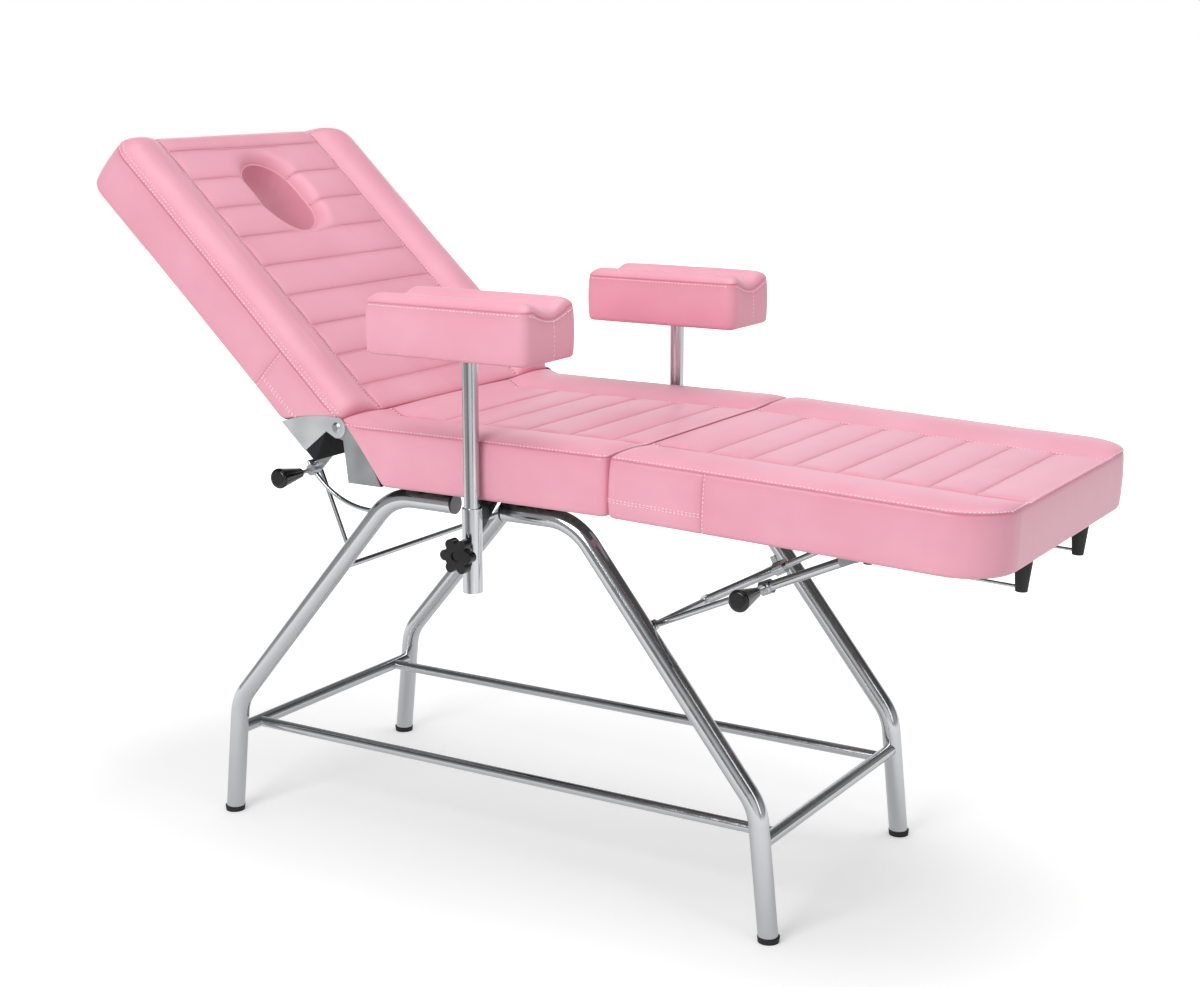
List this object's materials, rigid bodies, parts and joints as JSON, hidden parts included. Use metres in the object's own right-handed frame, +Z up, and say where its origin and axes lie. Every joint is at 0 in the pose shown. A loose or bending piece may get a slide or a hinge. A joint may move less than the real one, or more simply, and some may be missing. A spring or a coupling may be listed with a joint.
{
  "type": "tattoo chair",
  "caption": "Reclining padded client chair on a bent tube frame: backrest with face hole and clamped arc lock, folding leg rest on telescopic stays, adjustable armrests.",
  "frame": {"origin": "on the floor under the middle of the chair's outer box", "axes": "+X towards the foot end, +Y towards the far armrest, +Z up"},
  "size_m": [1.644, 0.7926, 1.1818],
  "materials": {
    "chrome_tube": "polished",
    "plated_steel": "satin",
    "brushed_plate": "satin",
    "black_steel": "gloss",
    "black_rubber": "matte",
    "black_plastic": "gloss",
    "black_lining": "matte",
    "plywood": "matte",
    "pink_vinyl": "satin",
    "dark_pink_vinyl": "satin"
  },
  "bodies": {
    "frame": {"head_leg_near": "chrome_tube", "head_leg_far": "chrome_tube", "foot_leg_near": "chrome_tube", "foot_leg_far": "chrome_tube", "floor_glides": "black_rubber", "rail_end_caps": "black_rubber", "head_crossbar": "chrome_tube", "foot_crossbar": "chrome_tube", "mid_rods": "chrome_tube", "long_bars": "chrome_tube", "seat_spacers": "black_rubber", "seat_board": "plywood", "seat_cushion": "pink_vinyl", "seat_end_rail": "black_lining", "seat_plate_near": "brushed_plate", "seat_plate_far": "brushed_plate", "hinge_rivets": "plated_steel", "lock_rail": "chrome_tube", "lock_prop": "black_steel", "seat_hinge_leaves": "plated_steel", "leg_hinge_pins": "plated_steel", "sleeve_brackets": "black_steel", "arm_sleeve_near": "chrome_tube", "arm_sleeve_far": "chrome_tube"},
    "backrest": {"back_board": "plywood", "back_cushion": "pink_vinyl", "face_hole_liner": "dark_pink_vinyl", "back_end_rail": "black_lining", "back_plate_near": "brushed_plate", "back_plate_far": "brushed_plate", "lock_arm": "plated_steel", "lock_hub": "plated_steel"},
    "lock_clamp": {"lock_screw": "plated_steel", "lock_handle": "black_plastic"},
    "leg_rest": {"leg_board": "plywood", "leg_cushion": "pink_vinyl", "leg_hinge_leaves": "plated_steel", "stub_feet": "black_rubber", "rod_blocks": "black_rubber", "side_rods": "chrome_tube", "stay_lugs": "plated_steel"},
    "near_stay_lower": {"near_stay_rod": "chrome_tube"},
    "near_stay_upper": {"near_stay_tube": "chrome_tube", "near_stay_collar": "chrome_tube"},
    "stay_clamp": {"stay_screw": "plated_steel", "stay_handle": "black_plastic"},
    "centre_stay_lower": {"centre_stay_tube": "chrome_tube", "centre_stay_collar": "chrome_tube"},
    "centre_stay_upper": {"centre_stay_rod": "chrome_tube"},
    "post_near": {"arm_post_near": "chrome_tube"},
    "arm_near": {"arm_plate_near": "black_steel", "arm_pad_near": "pink_vinyl"},
    "knob_near": {"knob_stud_near": "plated_steel", "star_knob_near": "black_plastic"},
    "post_far": {"arm_post_far": "chrome_tube"},
    "arm_far": {"arm_plate_far": "black_steel", "arm_pad_far": "pink_vinyl"},
    "knob_far": {"knob_stud_far": "plated_steel", "star_knob_far": "black_plastic"}
  },
  "joints": [
    {"name": "backrest_recline", "type": "hinge", "parent": "frame", "child": "backrest", "pos_m": [-0.29414, 0, 0.7304], "axis": [0, 1, 0], "range_deg": [-42.64, 0]},
    {"name": "lock_clamp_turn", "type": "hinge", "parent": "backrest", "child": "lock_clamp", "pos_m": [-0.4126, -0.229, 0.63516], "axis": [0, 1, 0], "continuous": true},
    {"name": "leg_rest_fold", "type": "hinge", "parent": "frame", "child": "leg_rest", "pos_m": [0.20916, 0, 0.6359], "axis": [0, 1, 0], "range_deg": [0, 34]},
    {"name": "near_stay_swing", "type": "hinge", "parent": "frame", "child": "near_stay_lower", "pos_m": [0.24279, -0.225, 0.4588], "axis": [0, 1, 0], "range_deg": [-0.5, 38]},
    {"name": "near_stay_slide", "type": "slide", "parent": "near_stay_lower", "child": "near_stay_upper", "axis": [0.9102, 0, 0.4141], "range_m": [-0.107, 0.001]},
    {"name": "stay_clamp_turn", "type": "hinge", "parent": "near_stay_upper", "child": "stay_clamp", "pos_m": [0.43668, -0.225, 0.547], "axis": [0, 1, 0], "continuous": true},
    {"name": "centre_stay_swing", "type": "hinge", "parent": "frame", "child": "centre_stay_lower", "pos_m": [0.24279, -0.05, 0.4588], "axis": [0, 1, 0], "range_deg": [-0.5, 36.5]},
    {"name": "centre_stay_slide", "type": "slide", "parent": "centre_stay_lower", "child": "centre_stay_upper", "axis": [0.8786, 0, 0.4776], "range_m": [-0.107, 0.001]},
    {"name": "post_near_slide", "type": "slide", "parent": "frame", "child": "post_near", "axis": [0, 0, 1], "range_m": [-0.09, 0.06]},
    {"name": "arm_near_swivel", "type": "hinge", "parent": "post_near", "child": "arm_near", "pos_m": [-0.02274, -0.3248, 0.8708], "axis": [0, 0, 1], "range_deg": [-90, 90]},
    {"name": "knob_near_turn", "type": "hinge", "parent": "frame", "child": "knob_near", "pos_m": [-0.02274, -0.3248, 0.565], "axis": [0, 1, 0], "continuous": true},
    {"name": "post_far_slide", "type": "slide", "parent": "frame", "child": "post_far", "axis": [0, 0, 1], "range_m": [-0.07, 0.08]},
    {"name": "arm_far_swivel", "type": "hinge", "parent": "post_far", "child": "arm_far", "pos_m": [-0.02274, 0.3248, 0.8499], "axis": [0, 0, 1], "range_deg": [-90, 90]},
    {"name": "knob_far_turn", "type": "hinge", "parent": "frame", "child": "knob_far", "pos_m": [-0.02274, 0.3248, 0.565], "axis": [0, 1, 0], "continuous": true}
  ],
  "couplings": [
    {"joint": "near_stay_swing", "follows": "leg_rest_fold", "ratio": 1.079},
    {"joint": "near_stay_slide", "follows": "leg_rest_fold", "m_per_rad": -0.17504},
    {"joint": "centre_stay_swing", "follows": "leg_rest_fold", "ratio": 1.0345},
    {"joint": "centre_stay_slide", "follows": "leg_rest_fold", "m_per_rad": -0.17641}
  ]
}
